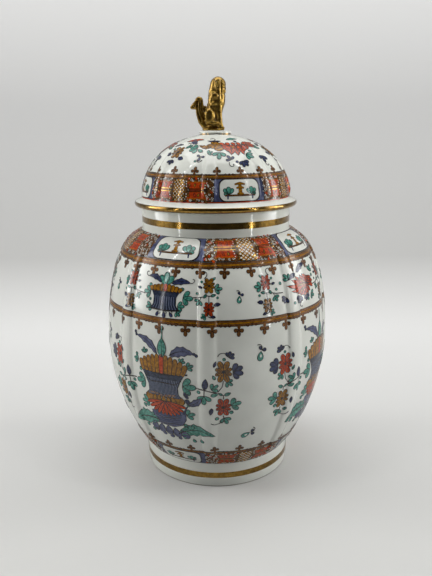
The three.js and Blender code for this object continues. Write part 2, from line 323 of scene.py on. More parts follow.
def turned(outline, columns=240, start_turn=0.0):
    """A shape turned about the vase's axis from an outline of radii and heights. An outline that
    starts and ends on the axis is left open there."""
    made = bmesh.new()
    turn = math.radians(start_turn)
    corners = [made.verts.new((r * math.sin(turn), -r * math.cos(turn), z)) for r, z in outline]
    on_axis = outline[0][0] == 0 and outline[-1][0] == 0
    following = corners[1:] if on_axis else corners[1:] + corners[:1]
    edges = [made.edges.new(pair) for pair in zip(corners, following)]
    bmesh.ops.spin(
        made,
        geom=corners + edges,
        cent=(0, 0, 0),
        axis=(0, 0, 1),
        angle=math.tau,
        steps=columns,
        use_merge=True,
    )
    bmesh.ops.remove_doubles(made, verts=made.verts, dist=0.0005)
    bmesh.ops.recalc_face_normals(made, faces=made.faces)
    return made


foot_inner_radius = foot_join_radius - foot_wall
foot_side = bend_line(
    (foot_rest_radius, foot_edge + 0.1), (0.6, 5), (0.5, -6), (foot_join_radius, foot_height), 12
)
foot_line = [
    *arc(foot_inner_radius + foot_edge, foot_edge, foot_edge, 180, 270, 4),
    *arc(foot_rest_radius - foot_edge, foot_edge, foot_edge, 270, 360, 4),
    *foot_side,
    (foot_inner_radius, foot_height),
]
foot_shape = turned(foot_line)
# The faces under the wiped height take the biscuit, which is darker than bare clay as painted shade.
for face in foot_shape.faces:
    if face.calc_center_median().z < wiped_and_shaded_height:
        face.material_index = 1
foot = finished(foot_shape, "foot_ring_glazed", [glaze, biscuit_and_contact_shade])
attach(foot, "vase")
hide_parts("foot_ring")


# Body
# The hollow ovoid is cast in a mould whose wall gives it eight raised round ribs with a gently
# swelling panel between each two. It is closed below by its floor and open at the shoulder.
body_height = 166
body_radius = 82
body_radius_height = 83.5
body_wall = 5
body_floor = 7
underside_sag = 3
floor_radius = 42
shoulder_wall = 6
neck_radius = 54.4
neck_wall = 5.5
slip_layer = 0.1
rib_count = 8
rib_pitch = 360 / rib_count
rib_turn = -4.5
rib_roundness = 0.8
column_gather = 4
wall_hit = 0.2
wall_nudge = 0.2


def ease(x):
    """From 0 to 1 with a soft start and end."""
    t = np.clip(x, 0, 1)
    return t * t * (3 - 2 * t)


class RibbedWall:
    """A wall with swelling panels and round ribs. Its line runs from bottom to top. A place on it
    is a turn in degrees from the front towards +X, and a length up its line in millimetres."""

    def __init__(self, line, panel_rise, rib_height, half_angle, fade):
        self.radii, self.heights = (np.array(row) for row in zip(*line))
        steps = np.hypot(np.diff(self.radii), np.diff(self.heights))
        self.lengths = np.concatenate([[0], np.cumsum(steps)])
        self.panel_rise, self.rib_height = panel_rise, rib_height
        self.half_angle, self.fade = half_angle, fade

    def swell(self, turn, height):
        """How far the wall stands out at a place, as a share of its radius."""
        from_rib = np.abs((turn - rib_turn + rib_pitch / 2) % rib_pitch - rib_pitch / 2)
        across = 1 - from_rib / (rib_pitch / 2)
        onto_rib = np.minimum(from_rib / self.half_angle, 1)
        rib = self.rib_height * (1 - onto_rib * onto_rib) ** rib_roundness
        share = (self.panel_rise * (2 / 3 - across * across) + rib) / self.radii.max()
        above, below = height - self.heights[0], self.heights[-1] - height
        return share * ease(above / self.fade) * ease(below / self.fade)

    def radius(self, along):
        """The radius at a length up the line."""
        return np.interp(along, self.lengths, self.radii)

    def place(self, turn, along):
        """Points on the wall."""
        height = np.interp(along, self.lengths, self.heights)
        radius = self.radius(along) * (1 + self.swell(turn, height))
        angle = np.radians(turn)
        return np.stack([radius * np.sin(angle), -radius * np.cos(angle), height], -1)

    def proud(self, turn, along, by):
        """Points that stand a little proud of the wall."""
        round_it = self.place(turn + wall_nudge, along) - self.place(turn - wall_nudge, along)
        up_it = self.place(turn, along + wall_nudge) - self.place(turn, along - wall_nudge)
        out = np.cross(round_it, up_it)
        out /= np.linalg.norm(out, axis=-1, keepdims=True)
        return self.place(turn, along) + out * by[..., None]

    def raise_ribs(self, made):
        """Gathers the columns of a turned shape at the ribs, and moves its outer wall out."""
        across, back, heights = np.array([corner.co for corner in made.verts]).T
        radii, turns = np.hypot(across, back), np.degrees(np.arctan2(across, -back))
        turns -= column_gather * np.sin(math.tau * (turns - rib_turn) / rib_pitch)
        outer = np.abs(radii - np.interp(heights, self.heights, self.radii)) < wall_hit
        outer &= (heights > self.heights[0]) & (heights < self.heights[-1])
        radii *= 1 + self.swell(turns, heights) * outer
        angles = np.radians(turns)
        places = np.stack([radii * np.sin(angles), -radii * np.cos(angles), heights], -1)
        for corner, place in zip(made.verts, places):
            corner.co = place


body_bottom = foot_height
body_top = foot_height + body_height
widest = foot_height + body_radius_height
neck_inner_radius = neck_radius - neck_wall
body_line = [
    *bend_line((foot_join_radius, body_bottom), (13, 19.5), (0, -34), (body_radius, widest)),
    *bend_line((body_radius, widest), (0, 38), (20.6, -8.5), (neck_radius, body_top))[1:],
]
body_wall_line = RibbedWall(body_line, panel_rise=1, rib_height=2, half_angle=4.6, fade=9)
inner_widest = body_radius - body_wall
floor_top = body_bottom + body_floor - underside_sag
inside_line = [
    *bend_line(
        (neck_inner_radius, body_top - shoulder_wall), (20.6, -8.5), (0, 38), (inner_widest, widest), 16
    ),
    *bend_line((inner_widest, widest), (0, -34), (20.6, 8.5), (floor_radius, floor_top), 16)[1:],
]
underside_line = [
    (r, body_bottom - underside_sag * (1 - (r / foot_inner_radius) ** 2))
    for r in np.linspace(0, foot_inner_radius, 8)
]
body_shape = turned(
    [*underside_line, *body_line, (neck_inner_radius, body_top), *inside_line, (0, floor_top)],
    columns=400,
    start_turn=rib_turn,
)
body_wall_line.raise_ribs(body_shape)
body = finished(body_shape, "body_glazed", [glaze])
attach(body, "vase")
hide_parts("body_shell")


# Neck
# A plain turned ring of glazed porcelain, joined to the shoulder with slip. Its top face, slightly
# rounded at both edges, carries the lid.
neck_low, neck_high = (corner.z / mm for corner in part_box("neck_ring"))
neck_edge = 1.1
neck_line = [
    (neck_inner_radius, neck_low - slip_layer),
    (neck_radius, neck_low - slip_layer),
    *arc(neck_radius - neck_edge, neck_high - neck_edge, neck_edge, 0, 90, 5),
    *arc(neck_inner_radius + neck_edge, neck_high - neck_edge, neck_edge, 90, 180, 5),
]
neck = finished(turned(neck_line), "neck_glazed", [glaze])
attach(neck, "vase")
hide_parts("neck_ring")


# Lid collar
# The turned porcelain ring under the lid, joined to it with slip. It drops inside the neck and
# keeps the lid from sliding off.
collar_low, collar_high = (corner.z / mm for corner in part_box("lid_collar"))
collar_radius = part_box("lid_collar")[1].x / mm
collar_wall = 3.5
collar_edge = 1
collar_inner_radius = collar_radius - collar_wall
collar_line = [
    *arc(collar_inner_radius + collar_edge, collar_low + collar_edge, collar_edge, 180, 270, 4),
    *arc(collar_radius - collar_edge, collar_low + collar_edge, collar_edge, 270, 360, 4),
    (collar_radius, collar_high + slip_layer),
    (collar_inner_radius, collar_high + slip_layer),
]
collar = finished(turned(collar_line), "lid_collar_glazed", [glaze])
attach(collar, "lid")
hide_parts("lid_collar")


# Lid rim
# The turned porcelain flange that rests on the neck. Its round edge hangs over, and its upper side
# sinks in a shallow hollow before it meets the dome.
rim_low, rim_high = (corner.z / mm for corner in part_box("lid_rim"))
rim_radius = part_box("lid_rim")[1].x / mm
rim_edge = 2.1
rim_edge_turn = 55
dome_radius = 54.1
rim_edge_centre = rim_radius - rim_edge
rim_arc = arc(rim_edge_centre, rim_low + rim_edge, rim_edge, -90, rim_edge_turn, 14)
rim_line = [
    (collar_inner_radius, rim_low),
    *rim_arc,
    *bend_line(rim_arc[-1], (-0.9, 0.6), (1.6, -1.2), (dome_radius, rim_high), 8)[1:],
    (collar_inner_radius, rim_high),
]
rim = finished(turned(rim_line), "lid_rim_glazed", [glaze])
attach(rim, "lid")
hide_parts("lid_rim")


# Lid dome
# A hollow porcelain cap, cast in a mould with the same eight ribs as the body and joined to the
# rim with slip. A flat spot closes it at the top and takes the pad.
dome_low, dome_high = (corner.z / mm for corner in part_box("lid_dome"))
dome_top_radius = 10.8
dome_wall = 5
dome_line = bend_line(
    (dome_radius, dome_low - slip_layer), (-2.6, 20.9), (29.2, -5.8), (dome_top_radius, dome_high)
)
dome_wall_line = RibbedWall(dome_line, panel_rise=0.7, rib_height=1.7, half_angle=5.6, fade=6)
dome_inside_line = bend_line(
    (dome_top_radius, dome_high - dome_wall),
    (24.2, -5.8),
    (-2.6, 20.9),
    (dome_radius - dome_wall, dome_low - slip_layer),
    16,
)
dome_shape = turned(
    [(0, dome_high - dome_wall), *dome_inside_line, *dome_line, (0, dome_high)],
    columns=400,
    start_turn=rib_turn,
)
dome_wall_line.raise_ribs(dome_shape)
dome = finished(dome_shape, "lid_dome_glazed", [glaze])
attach(dome, "lid")
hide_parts("lid_dome")


# Knob pad
# The low turned disc of white porcelain that the figure is set on, joined to the dome with slip.
# Its upper edge is round.
pad_low, pad_high = (corner.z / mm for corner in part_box("finial_pad"))
pad_radius = 11.3
pad_edge = 1.2
pad_bevel = 0.3
pad_line = [
    (0, pad_low - slip_layer),
    (pad_radius - pad_bevel, pad_low - slip_layer),
    (pad_radius, pad_low - slip_layer + pad_bevel),
    *arc(pad_radius - pad_edge, pad_high - pad_edge, pad_edge, 0, 90, 6),
    (0, pad_high + slip_layer),
]
pad = finished(turned(pad_line, 96), "knob_pad_glazed", [glaze])
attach(pad, "lid")
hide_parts("finial_pad")


# Gold bands
# Burnished gold laid on with a brush while the piece turns on a wheel: one band on the foot, one
# on the neck, one over the lid's round edge, and a thin line round the pad.
gold_skin = 0.06
gold_root = 0.15
foot_band = (7.4, 11.8)
neck_band = (189.8, 194.2)
rim_band = (-62, 48)
pad_band = (-0.1, 0.5)
# Burnished gold mirrors like metal, dark where the room is dark, and keeps the low waves of the
# brush, 1 to 2 mm wide.
gilding = finish(
    "burnished_gold", "#a4813a", "#785b26", 2.5, 0.16, 0.003, 1.6, metallic=1.0, coat=0.35
)


def gold_band(line, name, body):
    """A thin closed ring of gold over a stretch of an outline, sunk a little into the glaze."""
    out = []
    for (r0, z0), (r1, z1), (r2, z2) in zip([line[0], *line], line, [*line[1:], line[-1]]):
        along = Vector((r2 - r0, z2 - z0)).normalized()
        out.append((Vector((r1, z1)), Vector((along.y, -along.x))))
    outside = [tuple(p + n * gold_skin) for p, n in out]
    inside = [tuple(p - n * gold_root) for p, n in out[::-1]]
    band = finished(turned(outside + inside), name, [gilding])
    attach(band, body)


def stretch(line, low, high, steps=4):
    """The part of an outline between two heights."""
    radii, heights = zip(*line)
    return [(float(np.interp(z, heights, radii)), z) for z in np.linspace(low, high, steps)]


gold_band(stretch(foot_side, *foot_band), "foot_gold_band", "vase")
gold_band([(neck_radius, z) for z in np.linspace(*neck_band, 3)], "neck_gold_band", "vase")
gold_band(arc(rim_edge_centre, rim_low + rim_edge, rim_edge, *rim_band, 12), "rim_gold_band", "lid")
gold_band([(pad_radius, pad_low + up) for up in pad_band], "pad_gold_line", "lid")


# Knob figure
# A seated lion-dog that faces +X, pressed in one piece and gilded all over. It has an upright
# head with drooping ears, a mane of low curls and a plume of a tail with a hooked tip. Places are
# measured forward from the vase's axis, sideways, and up from the pad.
figure_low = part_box("finial_figure")[0].z / mm
figure_forward = 1.1
figure_grain = 0.3
spine_heights = (13, 20, 31)
spine_places = (-1.6, 0, 1.1)
mane_turns = 5
mane_rows = 7
mane_from = 14.6
mane_to = 33.4
mane_reach = 5.1
mane_draw_in = 0.034
head_from = 26
figure_shape = bmesh.new()


def lump(forward, side, up, length, width, height, lean=0.0):
    """A rounded mass that leans towards +X by an angle."""
    place = Matrix.Translation((figure_forward + forward, side, figure_low + up))
    size = Matrix.Diagonal((length / 2, width / 2, height / 2, 1))
    turn = Matrix.Rotation(math.radians(lean), 4, "Y")
    bmesh.ops.create_icosphere(figure_shape, subdivisions=3, radius=1, matrix=place @ turn @ size)


def both_sides(forward, side, up, length, width, height, lean=0.0):
    """A mass on the left and its like on the right."""
    lump(forward, -side, up, length, width, height, lean)
    lump(forward, side, up, length, width, height, lean)


def limb(path, sizes, side=0.0, flatness=1.0, steps=12):
    """Masses strung along a bent line, whose size runs from one to another."""
    for share in np.linspace(0, 1, steps):
        forward = np.interp(share, np.linspace(0, 1, len(path)), [p[0] for p in path])
        up = np.interp(share, np.linspace(0, 1, len(path)), [p[1] for p in path])
        size = float(np.interp(share, np.linspace(0, 1, len(sizes)), sizes))
        lump(float(forward), side, float(up), size, size * flatness, size)


lump(-2.4, 0, 0.8, 16.2, 13.6, 4.6)
lump(-1.6, 0, 3, 11, 8, 6.4)
limb([(1.1, 31.3), (0.4, 26), (0, 20), (-1.6, 13)], [11.2, 12.2, 12.4, 11.2], 0, 0.9, 16)
lump(-3.6, 0, 9.6, 11, 11, 15, 10)
lump(-8.4, 0, 12.4, 5, 2.6, 10)
both_sides(-5.2, 3.9, 9.6, 8.4, 5.8, 11.6, 8)
both_sides(-1.6, 4.6, 5.2, 7, 3.6, 3)
for side in (-2.7, 2.7):
    limb([(1.6, 16), (1.7, 10), (2.4, 4), (2.8, 2)], [5, 4.4, 4.2, 4.4], side)
    for toe in (-1.1, 0, 1.1):
        lump(4.6, side + toe, 1.8, 2.4, 1.5, 1.9)
        lump(1.8, side * 1.7 + toe, 4.4, 2.2, 1.4, 1.8)
both_sides(0.9, 5, 31.2, 4, 2.4, 7.6, 4)
both_sides(-1.3, 5.4, 23.5, 5, 2.4, 4)
both_sides(4.4, 3.2, 31.8, 3, 2.6, 1.8, 20)
both_sides(4.9, 2.8, 29.9, 2, 2, 2)
both_sides(4.8, 1.8, 26.8, 3.8, 3.6, 3.8)
lump(6, 0, 28.7, 1.7, 2.4, 1.6)
lump(3.4, 0, 20.6, 5.4, 6.6, 7)
tail_line = [(-7.6, 2.6), (-10.6, 6.4), (-12.1, 12), (-12, 17), (-12.4, 20.6)]
limb(tail_line, [5.4, 5.4, 5.6, 5.8, 5.8], 0, 0.66, 16)
limb([(-12.4, 19.6), (-14.8, 17.3), (-17.4, 16.1)], [6, 5.6, 2.9], flatness=0.6)
for row, up in enumerate(np.linspace(mane_from, mane_to, mane_rows)):
    middle = float(np.interp(up, spine_heights, spine_places))
    reach = mane_reach - mane_draw_in * max(up - head_from, 0) ** 2
    for k in range(mane_turns):
        angle = math.radians(100 + (k + (row % 2) / 2) * 160 / mane_turns)
        lump(middle + reach * math.cos(angle), 0.9 * reach * math.sin(angle), up, 2.8, 2.5, 2.6)

# Over the pressed relief the gold is less burnished, so its lights are softer than the bands'.
figure_gilding = finish(
    "soft_gilding", "#aa8a40", "#785c26", 2.5, 0.28, 0.004, 1.6, metallic=1.0, coat=0.3
)
rough = finished(figure_shape, "rough_figure", [figure_gilding])
melt = rough.modifiers.new("melt", "REMESH")
melt.mode = "VOXEL"
melt.voxel_size = figure_grain * mm
soften = rough.modifiers.new("soften", "SMOOTH")
soften.factor = 0.5
soften.iterations = 3
melted = bpy.data.meshes.new_from_object(rough.evaluated_get(bpy.context.evaluated_depsgraph_get()))
bpy.data.objects.remove(rough)
figure_shape = bmesh.new()
figure_shape.from_mesh(melted)
bpy.data.meshes.remove(melted)
bmesh.ops.scale(figure_shape, vec=(1 / mm, 1 / mm, 1 / mm), verts=figure_shape.verts)


def groove(path, width, depth, side=0):
    """Presses a line into the figure's sides along a bent path, as a tool marks damp clay."""
    marked = [corner for corner in figure_shape.verts if side * corner.co.y >= 0]
    places = np.array([(corner.co.x - figure_forward, corner.co.z - figure_low) for corner in marked])
    away = np.full(len(marked), np.inf)
    for start, end in zip(np.array(path), np.array(path)[1:]):
        along = end - start
        share = np.clip((places - start) @ along / (along @ along), 0, 1)
        away = np.minimum(away, np.linalg.norm(places - start - share[:, None] * along, axis=1))
    for corner, press in zip(marked, depth * ease(1 - away / width)):
        corner.co -= corner.normal * float(press)


for side in (-1, 1):
    groove([(-13.9, 20), (-13.7, 13), (-11.2, 6.4)], 1.1, 1.2, side)
    groove([(-10.9, 20.6), (-10.6, 14), (-8.8, 8)], 1.1, 1.2, side)
    groove([(-13.6, 20.4), (-16.2, 16.6)], 0.9, 1, side)
    groove([(0.7, 33.2), (0.9, 29.6)], 1.5, 0.9, side)
    groove([(-3.4, 20.6), (0.2, 21)], 2.1, 0.7, side)
    groove([(-3.6, 26.6), (-0.6, 27.2)], 1.9, 0.6, side)
    groove([(-3, 16.6), (-0.6, 17)], 1.9, 0.6, side)
    groove([(-1.2, 14.8), (-0.3, 10), (-0.6, 7.4)], 0.9, 0.8, side)
    groove([(-8.8, 11), (-8.4, 6)], 0.8, 0.7, side)
    groove([(-4.6, 1.4), (-0.6, 1.6)], 1.5, 1.4, side)
    groove([(3.2, 33.6), (3.4, 22)], 1.1, 0.4, side)
groove([(9, 24.6), (3.4, 25)], 1, 0.4)
bmesh.ops.bisect_plane(
    figure_shape,
    geom=figure_shape.verts[:] + figure_shape.edges[:] + figure_shape.faces[:],
    plane_co=(0, 0, figure_low),
    plane_no=(0, 0, 1),
    clear_inner=True,
)
bmesh.ops.holes_fill(figure_shape, edges=[e for e in figure_shape.edges if e.is_boundary])
bmesh.ops.recalc_face_normals(figure_shape, faces=figure_shape.faces)
figure = finished(figure_shape, "lion_dog_gilded", [figure_gilding])
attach(figure, "lid")
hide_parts("finial_figure")


# Line round the belly
# The painter's work lies over the fired glaze: enamels with dark outlines, and gold, fired on in
# a thin raised skin. The first of it is the gold line between the two flower zones, two strokes
# with a paler one between them, with trefoil points that hang from it and small beads.
Shape = namedtuple("Shape", "points ink level edge")
outline_width = 0.42
paint_skin = 0.12
paint_layer = 0.035
paint_root = 0.34
panel_step = 2.6
rib_cuts = [-1.1, -1, -0.88, -0.66, -0.33, 0, 0.33, 0.66, 0.88, 1, 1.1]
up_step = 3.2
end_step = 1.0
cut_reach = 1e-5

# Enamels melt into glossy colours with paler and deeper patches, 1 to 5 mm wide. The dark line,
# iron red and brown lie leaner and shine less, and the painted gold keeps a dull shine.
inks = {
    "outline": finish("dark_line_enamel", "#2a2422", "#1b1614", 1.5, 0.2),
    "green": finish("green_enamel", "#62ac9a", "#236a5c", 1.7, 0.1),
    "slate": finish("slate_enamel", "#363f55", "#1a2030", 1.8, 0.12),
    "blue": finish("blue_enamel", "#3f4a70", "#1f2642", 1.8, 0.1),
    "lilac": finish("lilac_enamel", "#5f6688", "#3f4464", 3, 0.12),
    "pale": finish("pale_blue_enamel", "#8e98b0", "#76809c", 3, 0.12),
    "ochre": finish("ochre_enamel", "#b67c14", "#704806", 1.7, 0.12),
    "brown": finish("brown_enamel", "#6e4a24", "#482c12", 1.2, 0.14),
    "red": finish("iron_red_enamel", "#cf4e12", "#9e2c06", 1.5, 0.16),
    "white": finish("white_enamel", "#eff0e8", "#e6e8df", 5, 0.08),
    "dull_gold": finish("painted_gold", "#80521f", "#4e3012", 1.5, 0.32, metallic=0.45),
    "gold": gilding,
}
ink_order = list(inks)
hand = random.Random(11)


def moved(shapes, x=0.0, y=0.0, tilt=0.0, size=1.0, flip=False, lift=0):
    """The same shapes mirrored, scaled, turned anticlockwise, shifted and lifted by layers."""
    cos, sin = math.cos(math.radians(tilt)), math.sin(math.radians(tilt))
    side = -1 if flip else 1
    out = []
    for shape in shapes:
        points = [
            (x + size * (cos * side * px - sin * py), y + size * (sin * side * px + cos * py))
            for px, py in shape.points
        ]
        edge = min(shape.edge * size, outline_width)
        out.append(shape._replace(points=points, edge=edge, level=shape.level + lift))
    return out


def stroke(path, widths, ink="outline", level=3, edge=0.0):
    """A brush stroke along a path, whose width follows a few values."""
    points = [Vector(p) for p in path]
    left, right = [], []
    for i, here in enumerate(points):
        along = (points[min(i + 1, len(points) - 1)] - points[max(i - 1, 0)]).normalized()
        share = i / (len(points) - 1)
        half = float(np.interp(share, np.linspace(0, 1, len(widths)), widths)) / 2
        left.append((here.x - along.y * half, here.y + along.x * half))
        right.append((here.x + along.y * half, here.y - along.x * half))
    return [Shape(left + right[::-1], ink, level, edge)]


def petal(length, width, ink, level=1, edge=1.0):
    """A petal with a round end, from its point at the origin towards +X."""
    turns = [math.tau * k / 12 for k in range(12)]
    points = [
        (length * (1 - math.cos(a)) / 2, 0.62 * width * math.sin(a) * math.sin(a / 2) ** 0.8)
        for a in turns
    ]
    return [Shape(points, ink, level, edge * min(outline_width, 0.2 * width))]


def leaf(length, width, ink, bend=0.0, teeth=0, level=1, steps=8):
    """A pointed leaf along +X whose middle is lifted by a bend, with a dark vein. Teeth scallop
    its edge."""
    upper, lower, vein = [], [], []
    for k in range(steps + 1):
        u = k / steps
        notch = 1 - 0.25 * abs(math.cos(math.pi * teeth * u)) if teeth else 1
        half = width / 2 * math.sin(math.pi * u ** 0.85) ** 0.75 * notch if 0 < k < steps else 0
        lift = bend * 4 * u * (1 - u)
        upper.append((length * u, lift + half))
        lower.append((length * u, lift - half))
        vein.append((length * u, lift))
    blade = Shape(upper + lower[-2:0:-1], ink, level, min(outline_width, 0.2 * width))
    return [blade] + stroke(vein[: steps - 1], [0.08 * width, 0.03 * width], level=level + 1)


def fan(ink, lobes=3, spread=84):
    """A leaf of round lobes that spread from its stalk towards +X, one millimetre long."""
    out = []
    for k in range(lobes):
        tilt = spread * (k / (lobes - 1) - 0.5)
        out += moved(petal(1 - 0.003 * abs(tilt), 0.5, ink, level=1 + k % 2), tilt=tilt)
    return out


def disc(radius, ink, level=2, edge=0.0):
    """A round spot."""
    turns = [math.tau * k / 9 for k in range(9)]
    return [Shape([(radius * math.cos(a), radius * math.sin(a)) for a in turns], ink, level, edge)]


def berry(radius, ink="green"):
    """A small round fruit with a dark rim."""
    return disc(radius, ink, level=2, edge=0.28 * radius)


def curl(length, roll=250, ink="outline", width=0.55, steps=9):
    """A thin tendril that sets out along +X and rolls up to its left."""
    x, y = 0.0, 0.0
    path = [(x, y)]
    for k in range(steps):
        heading = math.radians(roll) * ((k + 0.5) / steps) ** 1.6
        x += length / steps * math.cos(heading)
        y += length / steps * math.sin(heading)
        path.append((x, y))
    return stroke(path, [width, 0.6 * width, width], ink)


def scattered(shapes, spots):
    """The same shapes at several places, each an x, a y, a tilt and a size."""
    out = []
    for x, y, tilt, size in spots:
        out += moved(shapes, x, y, tilt + hand.uniform(-6, 6), size)
    return out


def berries(radius, spots, ink="green"):
    """Berries at several places, each an x, a y and a size."""
    return scattered(berry(radius, ink), [(x, y, 0, size) for x, y, size in spots])


def lay(sheet, wall, turn, up, shapes, steady=False):
    """Lays shapes, drawn in millimetres, about a place on a wall's sheet. A steady motif keeps
    its sides upright where the wall narrows. What reaches past the wall's ends is cut off."""
    part = bmesh.new()
    edged = {}
    for shape in shapes:
        height = paint_skin + shape.level * paint_layer
        face = part.faces.new([part.verts.new((x, y, height)) for x, y in shape.points])
        face.material_index = ink_order.index(shape.ink)
        face.normal_update()
        if face.normal.z < 0:
            face.normal_flip()
        if shape.edge:
            edged.setdefault(round(shape.edge, 2), []).append(face)
    for width, faces in edged.items():
        rims = bmesh.ops.inset_individual(part, faces=faces, thickness=width)
        for rim_face in rims["faces"]:
            rim_face.material_index = ink_order.index("outline")
    for corner in part.verts:
        along = up + corner.co.y
        radius = wall.radius(up if steady else along)
        corner.co.x = turn + math.degrees(corner.co.x / float(radius))
        corner.co.y = along
    for end, way in ((0, 1), (float(wall.lengths[-1]), -1)):
        parts = part.verts[:] + part.edges[:] + part.faces[:]
        bmesh.ops.bisect_plane(
            part, geom=parts, plane_co=(0, end, 0), plane_no=(0, way, 0), clear_inner=True
        )
    across = [corner.co.x for corner in part.verts]
    ups = [corner.co.y for corner in part.verts]
    for place, normal in cuts(wall, min(across), max(across), min(ups), max(ups)):
        parts = part.verts[:] + part.edges[:] + part.faces[:]
        bmesh.ops.bisect_plane(part, geom=parts, dist=cut_reach, plane_co=place, plane_no=normal)
    motif = bpy.data.meshes.new("motif")
    part.to_mesh(motif)
    part.free()
    sheet.from_mesh(motif)
    bpy.data.meshes.remove(motif)


def cuts(wall, left, right, low, high):
    """The planes that cut a motif small enough to follow its wall, finer across the ribs."""
    turns = []
    edge = rib_cuts[-1] * wall.half_angle
    count = round((rib_pitch - 2 * edge) / panel_step)
    for rib in range(math.floor((left - rib_turn) / rib_pitch), math.ceil(right / rib_pitch) + 1):
        middle = rib_turn + rib * rib_pitch
        turns += [middle + share * wall.half_angle for share in rib_cuts]
        turns += [middle + edge + (rib_pitch - 2 * edge) * k / count for k in range(1, count)]
    ends = np.arange(0, 1.2 * wall.fade, end_step)
    rows = np.concatenate([ends, np.arange(ends[-1] + up_step, high, up_step), wall.lengths[-1] - ends])
    upright = [((x, 0, 0), (1, 0, 0)) for x in turns if left < x < right]
    return upright + [((0, float(y), 0), (0, 1, 0)) for y in rows if low < y < high]


def fired(sheet, wall, name, body):
    """Gives a sheet of paint its thickness and wraps it round its wall."""
    bmesh.ops.triangulate(sheet, faces=sheet.faces)
    sheet.normal_update()
    bmesh.ops.reverse_faces(sheet, faces=[face for face in sheet.faces if face.normal.z < 0])
    parts = sheet.verts[:] + sheet.edges[:] + sheet.faces[:]
    bmesh.ops.solidify(sheet, geom=parts, thickness=paint_root)
    used = sorted({face.material_index for face in sheet.faces})
    for face in sheet.faces:
        face.material_index = used.index(face.material_index)
    turns, lengths, proud = np.array([corner.co for corner in sheet.verts]).T
    for corner, place in zip(sheet.verts, wall.proud(turns, lengths, proud)):
        corner.co = place
    piece = finished(sheet, name, [inks[ink_order[k]] for k in used])
    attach(piece, body)


def ring(sheet, wall, low, high, ink, level=0):
    """A band of one colour all round, laid in four stretches that meet."""
    up = (low + high) / 2
    wide = math.radians(45) * float(wall.radius(up))
    tall = (high - low) / 2
    band = [Shape([(-wide, -tall), (wide, -tall), (wide, tall), (-wide, tall)], ink, level, 0)]
    for middle in (45, 135, 225, 315):
        lay(sheet, wall, rib_turn + middle, up, band, steady=True)


def gold_line(sheet, wall, low, high):
    """Two gold strokes all round, an ochre one between them and a dark line at each edge."""
    third = (high - low) / 3
    wide = 1.15 * third
    ring(sheet, wall, low, low + wide, "dull_gold", 1)
    ring(sheet, wall, low + third, high - third, "ochre")
    ring(sheet, wall, high - wide, high, "dull_gold", 1)
    for edge in (low, high):
        ring(sheet, wall, edge - 0.2, edge + 0.15, "outline", 2)


def points_and_beads(sheet, wall, up, count, first_turn, way, size=1.0):
    """Trefoil points all round on a line, with beads between each two. They point down or up."""
    stem = stroke([(-0.6, 0), (2.6, 0)], [2.8, 1.3], "dull_gold", 2)
    point = stem + moved(petal(5.2, 2.7, "dull_gold", 1, 0.8), 2.2)
    for side in (-1, 1):
        point += moved(petal(3.4, 2.9, "dull_gold", 1, 0.8), 2.8, 0, 78 * side)
    pitch = 360 / count
    for k in range(count):
        tilt, grown = 90 * way + hand.uniform(-4, 4), size * hand.uniform(0.95, 1.05)
        leaning = moved(point, tilt=tilt, size=grown)
        lay(sheet, wall, first_turn + k * pitch + hand.uniform(-0.4, 0.4), up, leaning)
        for share in (0.34, 0.5, 0.66):
            bead = moved(disc(1.05 * size, "dull_gold", 1, 0.25), size=hand.uniform(0.8, 1.15))
            lay(sheet, wall, first_turn + (k + share) * pitch, up, bead)


middle_line = (118.4, 122.4)
middle_sheet = bmesh.new()
gold_line(middle_sheet, body_wall_line, *middle_line)
points_and_beads(middle_sheet, body_wall_line, 118.8, count=29, first_turn=-2.3, way=-1)
fired(middle_sheet, body_wall_line, "middle_gold_line", "vase")


# Shoulder border
# A band of iron-red panels and lattice, painted in enamels round the shoulder. Four white windows
# interrupt it, each with a bench, a stand and two plants. A gold line with hanging points and
# beads closes it.
shoulder_band = (160.3, 179.3)
shoulder_line = (155.9, 160)
shoulder_windows = [-24.4, 60, 150.6, 241.2]
shoulder_turns = (30, 14, 10)


def rounded_panel(width, height, corner, ink, level=0, edge=0.0):
    """A panel with round corners about the origin."""
    x, y = width / 2 - corner, height / 2 - corner
    points = []
    for k, (side, way) in enumerate(((1, 1), (-1, 1), (-1, -1), (1, -1))):
        points += arc(side * x, way * y, corner, 90 * k, 90 * k + 90, 5)
    return [Shape(points, ink, level, edge)]


def window(width, height):
    """A white window between two lilac strips, with a bench, a stand on it and two plants."""
    strip = 3.4
    out = rounded_panel(width + 2 * strip, height, 0.6, "lilac", 1, outline_width)
    out += rounded_panel(width, height - 0.2, 0.28 * height, "outline", 2)
    out += rounded_panel(width - 1.5, height - 1.5, 0.27 * height, "white", 3)
    half, low = 0.36 * width, -0.22 * height
    out += stroke([(-half, low), (half, low)], [1.3], "brown", 5, 0.2)
    for side in (-1, 1):
        leg_x = 0.82 * half * side
        out += stroke([(leg_x, low), (leg_x, low - 0.16 * height)], [1.1, 0.8], "blue", 5)
        plant_x = 0.76 * half * side
        blades = ((0, 0.34, 0.22), (-40, 0.33, 0.2), (38, 0.33, 0.2), (-78, 0.22, 0.16))
        for lean, share, wide in blades:
            blade = petal(share * height, wide * height, "green", 4 + (lean == 0))
            out += moved(blade, plant_x, low + 0.5, 90 + lean * side)
    for up, wide in ((0.07, 2.2), (0.32, 2.6), (0.48, 3.6)):
        bar_y = low + up * height
        bow = [(-wide, bar_y - 0.3), (0, bar_y + 0.5), (wide, bar_y - 0.3)]
        out += stroke(bow, [1.1, 1.8, 1.1], "ochre", 6, 0.22)
    return out + stroke([(0, low), (0, low + 0.5 * height)], [2.6, 1.6, 2.2], "ochre", 5, 0.22)


